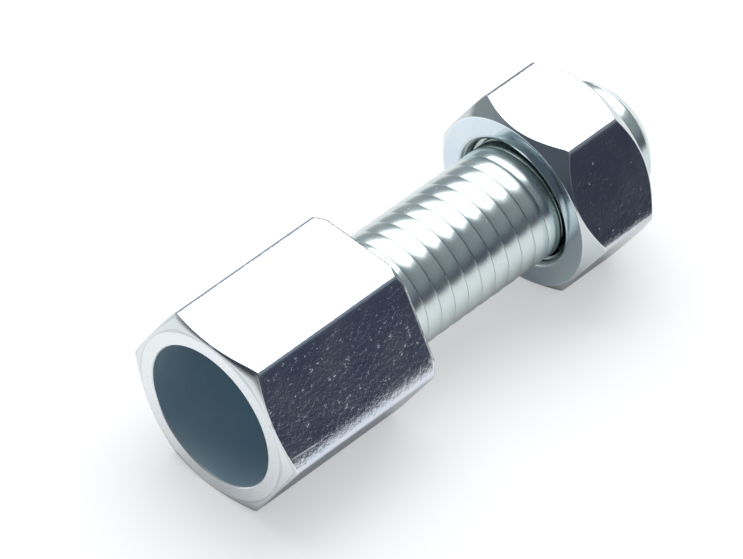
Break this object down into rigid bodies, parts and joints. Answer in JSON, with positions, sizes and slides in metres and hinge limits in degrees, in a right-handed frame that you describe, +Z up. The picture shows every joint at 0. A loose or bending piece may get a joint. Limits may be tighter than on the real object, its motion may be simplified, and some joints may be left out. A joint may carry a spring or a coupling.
{
  "type": "brake cable adjuster",
  "caption": "Zinc plated brake cable adjuster: hollow hexagon screw with a casing socket in its head, and a hexagon lock nut that runs on its thread",
  "frame": {"origin": "centre of the casing socket's mouth, on the screw's axis", "axes": "+X along the screw from the socket's mouth to its tip, +Z up, with the part lying on one flat of its head and one of its nut"},
  "size_m": [0.0346, 0.0138, 0.012],
  "materials": {
    "screw_zinc": "bright zinc plating, satin",
    "nut_zinc": "bright zinc plating, satin"
  },
  "bodies": {
    "screw": {"adjuster_screw": "screw_zinc"},
    "nut": {"lock_nut": "nut_zinc"}
  },
  "joints": [
    {"name": "nut_travel", "type": "slide", "parent": "screw", "child": "nut", "axis": [1, 0, 0], "range_m": [-0.0125, 0.0025]}
  ]
}
